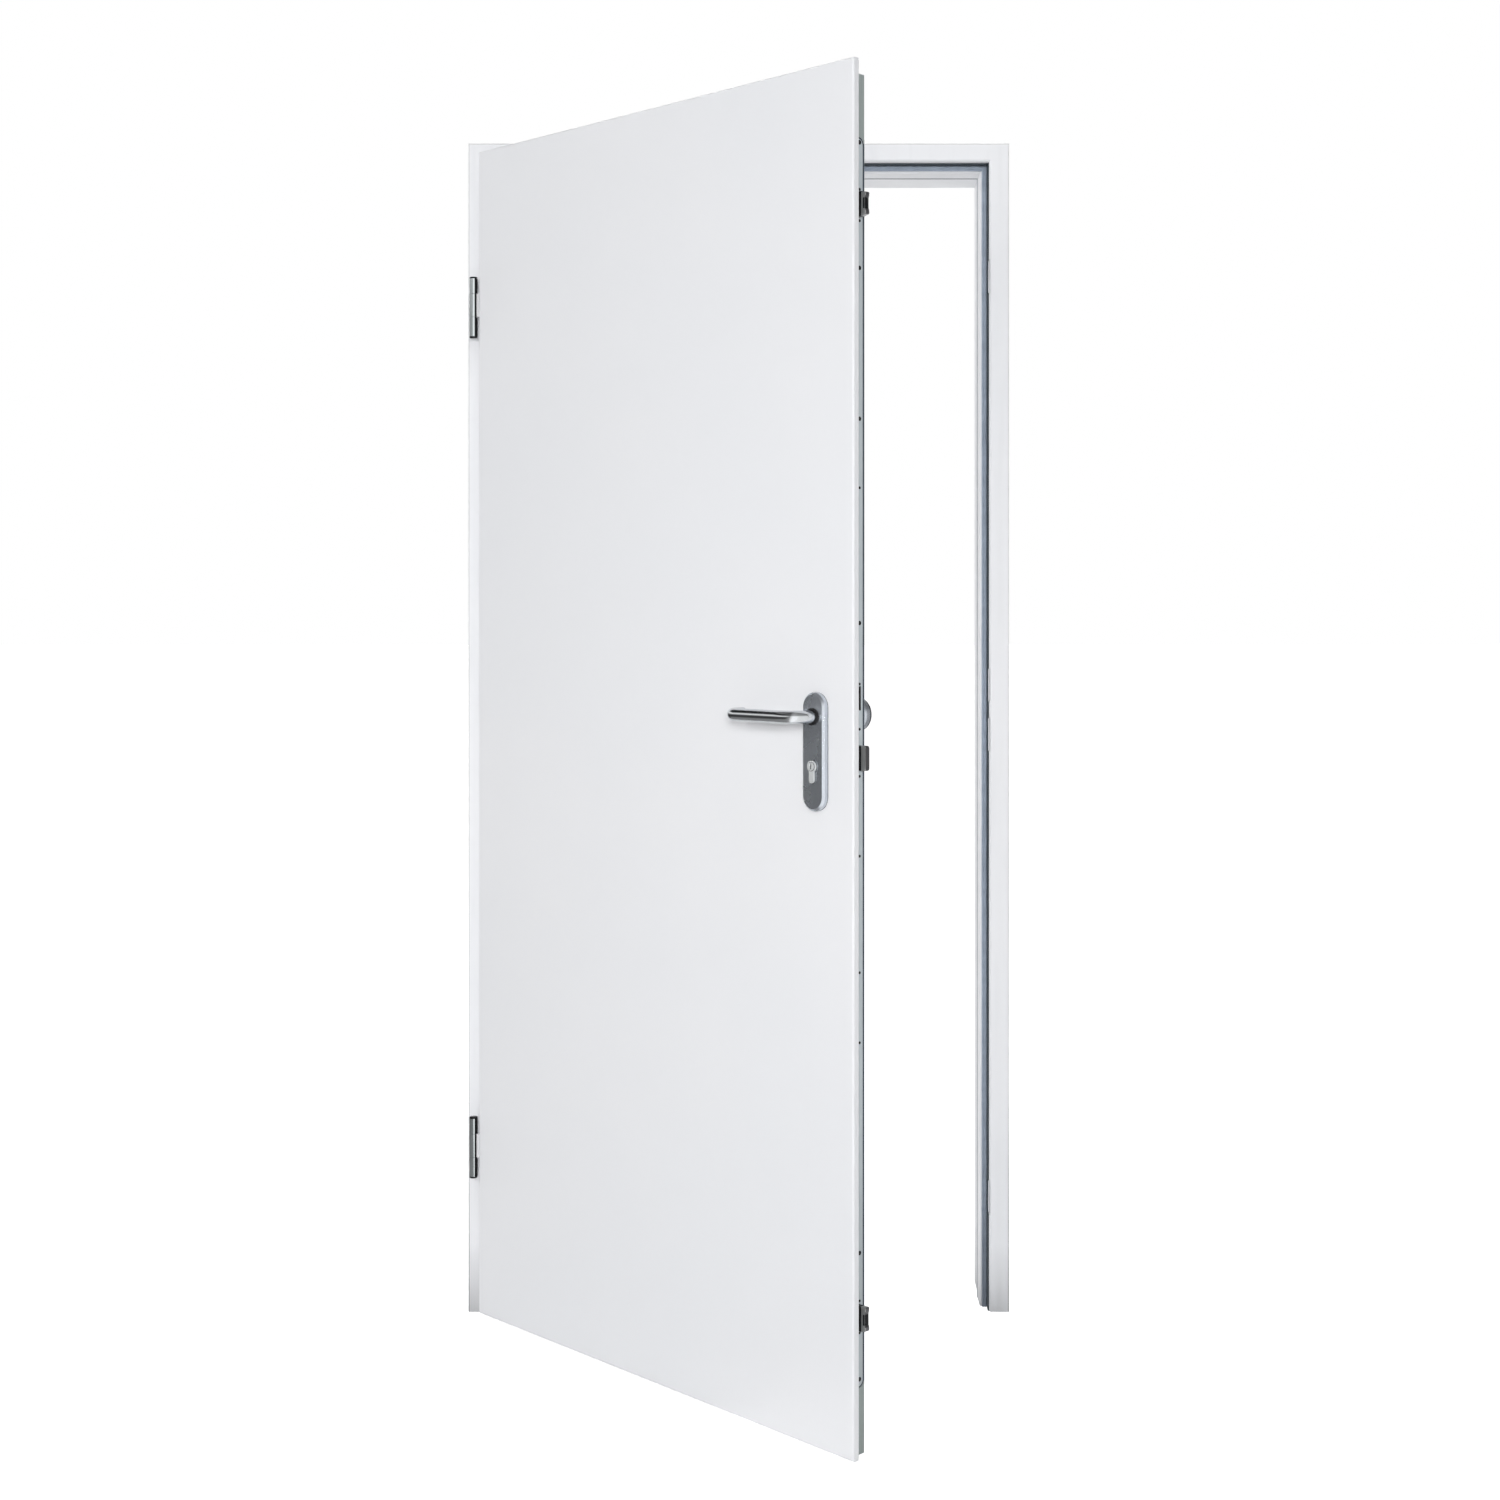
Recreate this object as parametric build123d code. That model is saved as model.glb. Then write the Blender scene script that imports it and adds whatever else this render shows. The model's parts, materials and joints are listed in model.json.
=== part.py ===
from build123d import *
import os

# Security door: a rebated steel leaf in a two-part sheet steel frame round a wall.
# Millimetres. X runs along the wall from the hinge side, Y into the wall, Z up from the floor.
# The origin is on the back of the hinge jamb's face sheet, half way across it, at floor level.

# Wall opening that the frame closes round
opening_width = 875.0
opening_height = 2005.0
wall_depth = 165.0

# Frame sheet, folded into a face, a rebate, a stop and a reveal
sheet = 2.0
fold_radius = 1.5
face_fold = 3.5
face_edge_round = 1.5
jamb_overlap = 33.0
head_overlap = 28.0
jamb_setin = 2.0
head_setin = 4.0
rebate_depth = 31.0
stop_width = 14.0
front_reveal = 44.0
reveal_lap = 15.0

# Rubber seal on the stop
seal_width = 9.0
seal_height = 5.0
seal_gap = 1.0
seal_round = 4.0

# Leaf: a front panel with an overhanging lip, and the body that enters the rebate
lip_overlap = 10.0
lip_overlap_top = 11.0
lip_gap = 5.0
lip_thickness = 12.5
body_gap = 7.0
body_gap_top = 5.0
floor_gap = 5.0
lip_lift = 2.5
panel_radius = 3.0
lip_back_radius = 2.0
rest_opening = 44.7

# Hinges of three lobes: two on the frame, one on the leaf, round one pin
hinge_from_edge = 13.0
hinge_proud = 1.5
knuckle_diameter = 13.5
pin_diameter = 8.0
pin_clearance = 0.05
strap_thickness = 7.0
lower_lobe = 33.0
middle_lobe = 40.0
upper_lobe = 26.0
lobe_gap = 0.5
cap_height = 3.0
cap_round = 1.5
upper_hinge_below_rebate = 309.5
lower_hinge_level = 239.0

# Lock edge: full-length strip, latch and three bolts
strip_width = 18.0
strip_thickness = 3.0
strip_above_bottom = 99.0
strip_below_top = 94.0
strip_groove = 2.5
lock_line_from_lip = 16.0
bolt_thickness = 8.0
bolt_height = 37.0
bolt_throw = 18.0
bolt_tail = 22.0
bolt_clearance = 0.5
bolt_corner = 5.0
bolt_bevel = 1.5
top_bolt_below_top = 189.0
main_bolt_level = 1009.5
bottom_bolt_level = 204.0
latch_height = 33.0
latch_level = 1095.5
latch_recess = 4.0
latch_length = 36.0
strike_clearance_side = 6.0
strike_depth = 2.4
strike_clearance_end = 12.0
strike_drop = 5.0

# Lever, plates, cylinder and far-side knob
backset = 55.0
plate_width = 44.0
plate_length = 172.0
plate_thickness = 10.0
plate_bevel = 3.0
lever_below_plate_top = 35.0
lever_level = 1068.5
lever_tube = 19.0
lever_reach = 48.0
lever_length = 136.0
lever_bend = 32.0
lever_return_bend = 16.0
lever_end_gap = 18.0
lever_end_round = 2.0
ring_diameter = 25.0
ring_height = 2.0
neck_clearance = 0.3
spindle_side = 8.0
spindle_depth = 25.0
spindle_clearance = 1.0
spindle_bore = 16.0
cylinder_below_lever = 72.0
cylinder_radius = 8.5
cylinder_web = 10.0
cylinder_length = 33.0
cylinder_proud = 3.0
cylinder_clearance = 0.3
plug_diameter = 13.0
plug_proud = 1.0
key_slot_width = 2.2
key_slot_length = 8.0
key_slot_depth = 6.0
knob_diameter = 50.0
knob_reach = 50.0
knob_height = 18.0
knob_neck_diameter = 20.0
knob_round = 6.0

# Planes that the pieces share
jamb_face = jamb_overlap + jamb_setin
head_face = head_overlap + head_setin
stop_y = rebate_depth - sheet
seam_y = stop_y + front_reveal
x_outer_hinge = -jamb_overlap / 2
x_wall_hinge = jamb_overlap / 2
x_wall_lock = x_wall_hinge + opening_width
x_outer_lock = x_wall_lock + jamb_overlap
x_rebate_hinge = x_wall_hinge + jamb_setin
x_rebate_lock = x_wall_lock - jamb_setin
z_outer = opening_height + head_overlap
z_rebate = opening_height - head_setin

# Leaf planes, with the leaf shut
y_lip_back = -sheet - lip_gap
y_lip_front = y_lip_back - lip_thickness
y_body_back = stop_y - seal_height - seal_gap
x_lip_hinge = x_rebate_hinge - lip_overlap
x_lip_lock = x_rebate_lock + lip_overlap
x_body_hinge = x_rebate_hinge + body_gap
x_body_lock = x_rebate_lock - body_gap
z_lip_top = z_rebate + lip_overlap_top
z_body_top = z_rebate - body_gap_top
z_lip_bottom = floor_gap + lip_lift
z_body_bottom = floor_gap
x_axis = x_lip_hinge - hinge_from_edge
y_axis = y_lip_front - hinge_proud
hinge_levels = {"upper": z_rebate - upper_hinge_below_rebate, "lower": lower_hinge_level}
bolt_levels = {
    "top": z_body_top - top_bolt_below_top,
    "main": main_bolt_level,
    "bottom": bottom_bolt_level,
}
strip_bottom = z_body_bottom + strip_above_bottom
strip_top = z_body_top - strip_below_top
y_lock_line = y_lip_back + lock_line_from_lip
x_lever = x_body_lock - backset
z_cylinder = lever_level - cylinder_below_lever
z_plate = lever_level + lever_below_plate_top - plate_length / 2

nodes = {}


def block(x0, x1, y0, y1, z0, z1):
    """Box between two corners."""
    corner = (Align.MIN, Align.MIN, Align.MIN)
    return Pos(x0, y0, z0) * Box(x1 - x0, y1 - y0, z1 - z0, align=corner)


def rod(x, z, radius, y0, y1):
    """Round bar along Y."""
    base = (Align.CENTER, Align.CENTER, Align.MIN)
    return Pos(x, y0, z) * Rot(-90, 0, 0) * Cylinder(radius, y1 - y0, align=base)


def post(radius, z0, z1):
    """Round bar along the hinge axis."""
    base = (Align.CENTER, Align.CENTER, Align.MIN)
    return Pos(x_axis, y_axis, z0) * Cylinder(radius, z1 - z0, align=base)


def folded(points, inner_radii):
    """Cross-section of a folded sheet from its middle line and the inner radius of each fold."""
    radii = [inner + sheet / 2 for inner in inner_radii]
    return trace(FilletPolyline(*points, radius=radii), line_width=sheet)


def front_section(face):
    """Face with a rounded outer edge, rebate, stop and first stretch of the reveal."""
    half = sheet / 2
    line = [
        (0, -half),
        (face - half, -half),
        (face - half, stop_y + half),
        (face + stop_width - half, stop_y + half),
        (face + stop_width - half, seam_y),
    ]
    section = folded(line, [face_fold, fold_radius, fold_radius])
    outer_edge = section.vertices().sort_by_distance((0, -sheet, 0))[0]
    return fillet(outer_edge, face_edge_round)


def rear_section(face):
    """Rest of the reveal, tucked behind the front one, and the rear face."""
    half = sheet / 2
    lapped = face + stop_width - sheet - half
    line = [(lapped, seam_y - reveal_lap), (lapped, wall_depth + half), (0, wall_depth + half)]
    return folded(line, [fold_radius])


def seal_section(face):
    """Bulb seal with a rounded nose, on the stop, beside the fold in its corner."""
    bulb = RectangleRounded(seal_width, 2 * seal_height, seal_round)
    half = Rectangle(seal_width, seal_height, align=(Align.CENTER, Align.MAX))
    return Pos(face + fold_radius + seal_width / 2, stop_y) * (bulb & half)


def upright(section, lock_side, height):
    """A section run up one side of the opening."""
    bar = extrude(section, amount=height)
    if lock_side:
        return Pos(x_outer_lock, 0, 0) * mirror(bar, about=Plane.YZ)
    return Pos(x_outer_hinge, 0, 0) * bar


def crosspiece(section):
    """A section run across the top of the opening."""
    start = Plane(origin=(x_outer_hinge, 0, z_outer), x_dir=(0, 0, -1), z_dir=(1, 0, 0))
    return extrude(start * section, amount=x_outer_lock - x_outer_hinge)


def prism(*points):
    """Outline in X and Z, run right through the wall."""
    outline = Plane.XZ * make_face(Polyline(*points, close=True))
    return extrude(outline, amount=2 * wall_depth, both=True)


def frame_side(bar, lock_side):
    """Mitre the top of an upright."""
    outer = x_outer_lock if lock_side else x_outer_hinge
    rebate = x_rebate_lock if lock_side else x_rebate_hinge
    reach = -2 * stop_width if lock_side else 2 * stop_width
    inner = rebate + reach
    keep = prism(
        (outer, 0),
        (outer, z_outer),
        (rebate, z_rebate),
        (inner, z_rebate - 2 * stop_width),
        (inner, 0),
    )
    return bar & keep


def frame_top(bar):
    """Mitre both ends of a crosspiece."""
    low = z_rebate - 2 * stop_width
    keep = prism(
        (x_outer_hinge, z_outer),
        (x_rebate_hinge, z_rebate),
        (x_rebate_hinge + 2 * stop_width, low),
        (x_rebate_lock - 2 * stop_width, low),
        (x_rebate_lock, z_rebate),
        (x_outer_lock, z_outer),
    )
    return bar & keep


def build_frame():
    """Front frame, rear frame and seals, each as two jambs and a head."""
    strikes = Part()
    for level, height in strike_list():
        half = height / 2 + strike_clearance_end
        middle = level - strike_drop
        side = bolt_thickness / 2 + strike_clearance_side
        strikes += block(
            x_rebate_lock - sheet,
            x_rebate_lock + strike_depth,
            y_lock_line - side,
            y_lock_line + side,
            middle - half,
            middle + half,
        )
    front = front_section(jamb_face)
    rear = rear_section(jamb_face)
    seal = seal_section(jamb_face)
    nodes["hinge_jamb"] = frame_side(upright(front, False, z_outer), False)
    nodes["lock_jamb"] = frame_side(upright(front, True, z_outer), True) - strikes
    nodes["frame_head"] = frame_top(crosspiece(front_section(head_face)))
    nodes["rear_hinge_jamb"] = frame_side(upright(rear, False, z_outer), False)
    nodes["rear_lock_jamb"] = frame_side(upright(rear, True, z_outer), True)
    nodes["rear_head"] = frame_top(crosspiece(rear_section(head_face)))
    nodes["hinge_side_seal"] = frame_side(upright(seal, False, z_outer), False)
    nodes["lock_side_seal"] = frame_side(upright(seal, True, z_outer), True)
    nodes["head_seal"] = frame_top(crosspiece(seal_section(head_face)))


def strike_list():
    """Level and height of what enters the lock jamb."""
    return [(level, bolt_height) for level in bolt_levels.values()] + [(latch_level, latch_height)]


def build_hinge(name, level):
    """Two frame lobes, one leaf lobe and the pin with its caps."""
    radius = knuckle_diameter / 2
    hole = pin_diameter / 2 + pin_clearance
    z_middle = level + cap_height + lower_lobe + lobe_gap
    z_upper = z_middle + middle_lobe + lobe_gap
    z_top = z_upper + upper_lobe
    bore = post(hole, level, z_top)
    bracket = Part()
    for z0, z1 in ((level + cap_height, z_middle - lobe_gap), (z_upper, z_top)):
        half = strap_thickness / 2
        strap = block(x_axis - half, x_axis + half, y_axis, -sheet, z0, z1)
        bracket += post(radius, z0, z1) + strap
    nodes[name + "_hinge_bracket"] = bracket - bore
    z_end = z_middle + middle_lobe
    wing = block(x_axis, x_lip_hinge, y_lip_front, y_lip_front + strap_thickness, z_middle, z_end)
    lobe = post(radius, z_middle, z_end) + wing - bore
    nodes[name + "_hinge_knuckle"] = opened(lobe)
    lower_cap = post(radius, level, level + cap_height)
    upper_cap = post(radius, z_top, z_top + cap_height)
    pin = post(pin_diameter / 2, level + cap_height, z_top)
    pin += fillet(lower_cap.edges().group_by(Axis.Z)[0], cap_round)
    pin += fillet(upper_cap.edges().group_by(Axis.Z)[-1], cap_round)
    nodes[name + "_hinge_pin"] = pin


def opened(piece):
    """Turn a piece drawn on the shut leaf to the stored opening."""
    hinge_line = Axis((x_axis, y_axis, 0), (0, 0, 1))
    return piece.rotate(hinge_line, -rest_opening)


def strip_outline(width, length):
    """Round-ended strip outline on the lock edge."""
    middle = (x_body_lock, y_lock_line, (strip_bottom + strip_top) / 2)
    edge = Plane(origin=middle, x_dir=(0, 0, 1), z_dir=(-1, 0, 0))
    return edge * SlotOverall(length, width)


def lock_hole(level, height, length, slack):
    """Straight pocket into the lock edge."""
    return block(
        x_body_lock - length,
        x_body_lock + sheet,
        y_lock_line - bolt_thickness / 2 - slack,
        y_lock_line + bolt_thickness / 2 + slack,
        level - height / 2 - slack,
        level + height / 2 + slack,
    )


def euro_outline(slack):
    """Profile cylinder: a round barrel over a straight web with a round foot."""
    radius = cylinder_radius + slack
    half_web = cylinder_web / 2 + slack
    drop = cylinder_length - cylinder_radius - cylinder_web / 2
    web = Pos(0, -drop / 2) * Rectangle(2 * half_web, drop)
    return Circle(radius) + web + Pos(0, -drop) * Circle(half_web)


def along_leaf(x, z, y):
    """Plane parallel to the leaf, facing the viewer, at a depth."""
    return Plane(origin=(x, y, z), x_dir=(1, 0, 0), z_dir=(0, -1, 0))


def euro_bar(slack, y_front, y_back):
    """Profile cylinder's outline run through the leaf."""
    outline = along_leaf(x_lever, z_cylinder, y_back) * euro_outline(slack)
    return extrude(outline, amount=y_back - y_front)


def cover_plate(y_seat, outward):
    """Round-ended plate with a bevelled rim, on one side of the leaf."""
    outline = SlotOverall(plate_length, plate_width, rotation=90)
    plate = extrude(outline, amount=plate_thickness)
    plate = chamfer(plate.faces().sort_by(Axis.Z)[-1].edges(), plate_bevel)
    seat = Plane(origin=(x_lever, y_seat, z_plate), x_dir=(-outward, 0, 0), z_dir=(0, outward, 0))
    return seat * plate


def build_leaf():
    """Panels, lock strip, latch, plates, cylinder and far-side knob."""
    y_face = y_lip_front - plate_thickness
    y_far = y_body_back + plate_thickness
    y_spindle_end = y_lip_back + spindle_depth
    spindle_hole = rod(x_lever, lever_level, spindle_bore / 2, y_face - sheet, y_spindle_end)
    euro_hole = euro_bar(cylinder_clearance, y_face - 2 * cylinder_proud, y_far + 2 * cylinder_proud)

    front = block(x_lip_hinge, x_lip_lock, y_lip_front, y_lip_back, z_lip_bottom, z_lip_top)
    front = fillet(front.faces().sort_by(Axis.Y)[0].edges(), panel_radius)
    front = fillet(front.faces().sort_by(Axis.Y)[-1].edges(), lip_back_radius)
    nodes["leaf_front_panel"] = opened(front - spindle_hole - euro_hole)

    body = block(x_body_hinge, x_body_lock, y_lip_back, y_body_back, z_body_bottom, z_body_top)
    body = fillet(body.faces().sort_by(Axis.Y)[-1].edges(), panel_radius)
    strip_length = strip_top - strip_bottom
    groove = 2 * strip_groove
    body -= extrude(strip_outline(strip_width + groove, strip_length + groove), amount=strip_thickness)
    strip = extrude(strip_outline(strip_width, strip_length), amount=strip_thickness)
    pocket_length = bolt_tail + bolt_throw + bolt_clearance
    for level in bolt_levels.values():
        hole = lock_hole(level, bolt_height, pocket_length, bolt_clearance)
        body -= hole
        strip -= hole
    latch_hole = lock_hole(latch_level, latch_height, latch_recess + latch_length, bolt_clearance)
    body -= latch_hole
    strip -= latch_hole
    nodes["leaf_back_panel"] = opened(body - spindle_hole - euro_hole)
    nodes["lock_strip"] = opened(strip)

    latch_end = x_body_lock - latch_recess
    latch = block(
        latch_end - latch_length,
        latch_end,
        y_lock_line - bolt_thickness / 2,
        y_lock_line + bolt_thickness / 2,
        latch_level - latch_height / 2,
        latch_level + latch_height / 2,
    )
    nose = latch.faces().sort_by(Axis.X)[-1].edges().sort_by(Axis.Y)[-1]
    nodes["latch"] = opened(chamfer(nose, bolt_thickness / 2))

    nodes["front_plate"] = opened(cover_plate(y_lip_front, -1) - spindle_hole - euro_hole)
    nodes["rear_plate"] = opened(cover_plate(y_body_back, 1) - euro_hole)

    ring = rod(x_lever, lever_level, ring_diameter / 2, y_face - ring_height, y_face)
    neck_hole = lever_tube / 2 + neck_clearance
    ring -= rod(x_lever, lever_level, neck_hole, y_face - 2 * ring_height, y_face + sheet)
    nodes["lever_ring"] = opened(ring)

    cylinder = euro_bar(0, y_face - cylinder_proud, y_far + cylinder_proud)
    y_plug = y_face - cylinder_proud - plug_proud
    cylinder += rod(x_lever, z_cylinder, plug_diameter / 2, y_plug, y_face)
    half_slot = key_slot_width / 2
    cylinder -= block(
        x_lever - half_slot,
        x_lever + half_slot,
        y_plug - sheet,
        y_plug + key_slot_depth,
        z_cylinder - key_slot_length / 2,
        z_cylinder + key_slot_length / 2,
    )
    nodes["lock_cylinder"] = opened(cylinder)

    neck = rod(x_lever, lever_level, knob_neck_diameter / 2, y_far, y_body_back + knob_reach)
    y_knob = y_body_back + knob_reach
    head = rod(x_lever, lever_level, knob_diameter / 2, y_knob - knob_height, y_knob)
    head = fillet(head.edges().filter_by(GeomType.CIRCLE), knob_round)
    nodes["knob"] = opened(neck + head)


def build_lever():
    """Bent tube with a return end, and the spindle it turns."""
    y_face = y_lip_front - plate_thickness
    y_grip = y_lip_front - lever_reach
    path = FilletPolyline(
        (x_lever, y_face, lever_level),
        (x_lever, y_grip, lever_level),
        (x_lever - lever_length, y_grip, lever_level),
        (x_lever - lever_length, y_lip_front - lever_end_gap, lever_level),
        radius=[lever_bend, lever_return_bend],
    )
    tube = sweep(Plane(origin=path @ 0, z_dir=path % 0) * Circle(lever_tube / 2), path=path)
    end = tube.faces().filter_by(GeomType.PLANE).sort_by(Axis.X)[0]
    nodes["lever_handle"] = opened(fillet(end.edges(), lever_end_round))
    half = spindle_side / 2
    spindle = block(
        x_lever - half,
        x_lever + half,
        y_face,
        y_lip_back + spindle_depth - spindle_clearance,
        lever_level - half,
        lever_level + half,
    )
    nodes["lever_spindle"] = opened(spindle)


def build_bolts():
    """Three flat bolts, drawn thrown."""
    for name, level in bolt_levels.items():
        bolt = block(
            x_body_lock - bolt_tail,
            x_body_lock + bolt_throw,
            y_lock_line - bolt_thickness / 2,
            y_lock_line + bolt_thickness / 2,
            level - bolt_height / 2,
            level + bolt_height / 2,
        )
        outer_end = bolt.faces().sort_by(Axis.X)[-1]
        bolt = fillet(outer_end.edges().filter_by(Axis.Y), bolt_corner)
        bolt = chamfer(bolt.faces().sort_by(Axis.X)[-1].edges().filter_by(Axis.Z), bolt_bevel)
        nodes[name + "_bolt"] = opened(bolt)


build_frame()
for hinge_name, hinge_level in hinge_levels.items():
    build_hinge(hinge_name, hinge_level)
build_leaf()
build_lever()
build_bolts()

os.makedirs("parts", exist_ok=True)
for node, shape in nodes.items():
    export_step(shape, os.path.join("parts", node + ".step"))
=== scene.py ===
"""Looks of the security door: materials, fine fittings, light and camera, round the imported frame."""
import json
import math

import bmesh
import bpy
from mathutils import Matrix, Vector


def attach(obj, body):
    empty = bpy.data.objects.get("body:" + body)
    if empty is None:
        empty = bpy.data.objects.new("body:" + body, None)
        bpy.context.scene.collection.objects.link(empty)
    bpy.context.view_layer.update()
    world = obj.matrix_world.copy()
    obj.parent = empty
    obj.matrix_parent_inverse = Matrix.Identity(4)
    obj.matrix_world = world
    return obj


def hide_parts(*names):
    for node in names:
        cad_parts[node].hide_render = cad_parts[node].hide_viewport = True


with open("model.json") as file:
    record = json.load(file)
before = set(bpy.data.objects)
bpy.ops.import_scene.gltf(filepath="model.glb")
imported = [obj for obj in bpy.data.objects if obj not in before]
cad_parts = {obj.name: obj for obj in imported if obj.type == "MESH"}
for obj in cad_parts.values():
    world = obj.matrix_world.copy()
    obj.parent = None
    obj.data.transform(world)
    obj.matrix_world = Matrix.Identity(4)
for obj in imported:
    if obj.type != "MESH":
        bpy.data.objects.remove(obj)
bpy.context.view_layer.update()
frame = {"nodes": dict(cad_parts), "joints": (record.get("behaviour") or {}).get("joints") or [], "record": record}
nodes = frame["nodes"]
joints = {joint["name"]: joint for joint in frame["joints"]}

# Camera: the photograph's place, focal length and framing
IMAGE_SIZE = 1500
FOCAL_PIXELS = 2076.0
AXIS_PIXEL = (808.0, 605.0)
SENSOR = 36.0
CAMERA_PLACE = (0.5745, -3.614, 1.23)

# Planes and sizes of the part, in millimetres, with the leaf shut
MM = 0.001
X_FACE = (-16.5, 924.5)
Z_FACE = 2033.0
X_REBATE_HINGE = 18.5
X_REBATE_LOCK = 889.5
Z_REBATE = 2001.0
Y_STOP = 29.0
STOP_WIDTH = 14.0
Y_SEAM = 73.0
SHEET = 2.0
X_BODY_LOCK = 882.5
Y_LIP_FRONT = -19.5
Y_LIP_BACK = -7.0
Y_BODY_BACK = 23.0
Z_BODY = (5.0, 1996.0)
EDGE_FILLET = 3.0
Y_LOCK_LINE = 9.0
STRIP_WIDTH = 18.0
STRIP_RANGE = (104.0, 1902.0)
STRIP_GROOVE = 2.5
STRIP_THICKNESS = 3.0
BOLT_LEVELS = {"top": 1807.0, "main": 1009.5, "bottom": 204.0}
BOLT_THROW = 18.0
BOLT_TAIL = 22.0
BOLT_HALF = 18.5
BOLT_FACES = (5.0, 13.0)
LATCH_LEVEL = 1095.5
LATCH_SIZE = (8.0, 33.0)
LATCH_RECESS = 4.0
X_LEVER = 827.5
LEVER_LEVEL = 1068.5
PLATE_SIZE = (44.0, 172.0)
PLATE_LEVEL = 1017.5
PLATE_FACES = (-29.5, 33.0)
CYLINDER_LEVEL = 996.5
CYLINDER_RADIUS = 8.5
CYLINDER_WEB = 10.0
CYLINDER_LENGTH = 33.0
CYLINDER_PROUD = 3.0
KNUCKLE_RADIUS = 6.75
HINGE_LEVELS = {"upper": 1691.5, "lower": 239.0}
HINGE_LOBES = ((3.0, 36.0, "frame"), (36.5, 76.5, "leaf"), (77.0, 103.0, "frame"))

# The stored opening of the leaf, read from its hinge
hinge_line = Vector(joints["leaf_swing"]["pos_m"])
leaf_opening = math.radians(-joints["leaf_swing"]["range_deg"][0])
shut_to_rest = (
    Matrix.Translation(hinge_line)
    @ Matrix.Rotation(-leaf_opening, 4, "Z")
    @ Matrix.Translation(-hinge_line)
)


# Node helpers

def new_material(name):
    """Node material with its tree and shader."""
    material = bpy.data.materials.new(name)
    material.use_nodes = True
    tree = material.node_tree
    shader = tree.nodes["Principled BSDF"]
    return material, tree, shader


def feed(tree, socket, value):
    """Link another node's socket to this one, or set a plain value."""
    if isinstance(value, bpy.types.NodeSocket):
        tree.links.new(value, socket)
    else:
        socket.default_value = value


def add(tree, kind, **inputs):
    """Node whose inputs are values or other nodes' sockets."""
    node = tree.nodes.new(kind)
    for label, value in inputs.items():
        feed(tree, node.inputs[label.replace("_", " ")], value)
    return node


def math_node(tree, operation, *values):
    """Sum, product or other operation on numbers."""
    node = tree.nodes.new("ShaderNodeMath")
    node.operation = operation
    for socket, value in zip(node.inputs, values):
        feed(tree, socket, value)
    return node.outputs[0]


def vector_node(tree, operation, *vectors):
    """Outputs of an operation on vectors or colours."""
    node = tree.nodes.new("ShaderNodeVectorMath")
    node.operation = operation
    for socket, value in zip(node.inputs, vectors):
        tree.links.new(value, socket)
    return node.outputs


def object_place(tree):
    """Object coordinates, in metres."""
    return tree.nodes.new("ShaderNodeTexCoord").outputs["Object"]


def place_of(tree, stretch=(1.0, 1.0, 1.0)):
    """Object coordinates, stretched."""
    return add(tree, "ShaderNodeMapping", Vector=object_place(tree), Scale=stretch).outputs["Vector"]


def noise(tree, place, scale, detail=4.0, roughness=0.5):
    """Noise texture's strength at a place."""
    node = add(tree, "ShaderNodeTexNoise", Vector=place, Scale=scale, Detail=detail, Roughness=roughness)
    return node.outputs["Fac"]


def span(tree, value, low, high, from_low=0.3, from_high=0.7):
    """Rescale a number from one range to another."""
    node = tree.nodes.new("ShaderNodeMapRange")
    tree.links.new(value, node.inputs["Value"])
    limits = {"From Min": from_low, "From Max": from_high, "To Min": low, "To Max": high}
    for label, number in limits.items():
        node.inputs[label].default_value = number
    return node.outputs["Result"]


def mixed(tree, factor, first, second):
    """Blend of two colours."""
    node = tree.nodes.new("ShaderNodeMix")
    node.data_type = "RGBA"
    tree.links.new(factor, node.inputs["Factor"])
    for label, value in (("A", first), ("B", second)):
        socket = [s for s in node.inputs if s.name == label and s.type == "RGBA"][0]
        feed(tree, socket, value if isinstance(value, bpy.types.NodeSocket) else (*value, 1.0))
    return [s for s in node.outputs if s.type == "RGBA"][0]


def ramp(tree, value, stops):
    """Grey curve through (place, strength) stops."""
    node = tree.nodes.new("ShaderNodeValToRGB")
    tree.links.new(value, node.inputs["Fac"])
    points = node.color_ramp.elements
    while len(points) < len(stops):
        points.new(0.5)
    for point, (place, strength) in zip(points, stops):
        point.position = place
        point.color = (strength, strength, strength, 1.0)
    return node.outputs["Color"]


def bumped(tree, shader, height, strength, distance):
    """Bump from a height, on the shader."""
    node = add(tree, "ShaderNodeBump", Height=height, Strength=strength, Distance=distance)
    tree.links.new(node.outputs["Normal"], shader.inputs["Normal"])


# Materials: noise scales, roughness ranges, and each bump's strength and depth in metres
# Painted shade toward the floor: its streak stretch, unevenness and ramp middle
FLOOR_SHADE_STREAKS = (60.0, 60.0, 6.0)
FLOOR_SHADE_UNEVEN = 0.08
FLOOR_SHADE_MIDDLE = 0.4
PAINT_DRIFT = 1.6
PAINT_GLOSS = 35.0
PAINT_ROUGH = (0.30, 0.40)
PAINT_PEEL = 420.0
PEEL_BUMP = (0.05, 0.0004)
METAL_STRETCH = (40.0, 40.0, 1.0)
METAL_CLOUD = 24.0
LINE_BUMP = (0.05, 0.0002)
RUBBER_DRIFT = 60.0
RUBBER_GLOSS = 250.0
RUBBER_ROUGH = (0.5, 0.65)
RUBBER_SKIN = 900.0
SKIN_BUMP = (0.15, 0.0003)


def shade_toward_floor(tree, tone, foot):
    """Tone with painted shade toward the floor: the height where that starts and the share left at the floor."""
    start, left = foot
    height = add(tree, "ShaderNodeSeparateXYZ", Vector=object_place(tree)).outputs["Z"]
    rise = span(tree, height, 0.0, 1.0, 0.0, start)
    streaks = span(tree, noise(tree, place_of(tree, FLOOR_SHADE_STREAKS), 1.0), -FLOOR_SHADE_UNEVEN, FLOOR_SHADE_UNEVEN)
    stops = ((0.0, left), (FLOOR_SHADE_MIDDLE, 0.5 + left / 2), (1.0, 1.0))
    grey = ramp(tree, math_node(tree, "ADD", rise, streaks), stops)
    return vector_node(tree, "MULTIPLY", tone, grey)[0]


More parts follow.
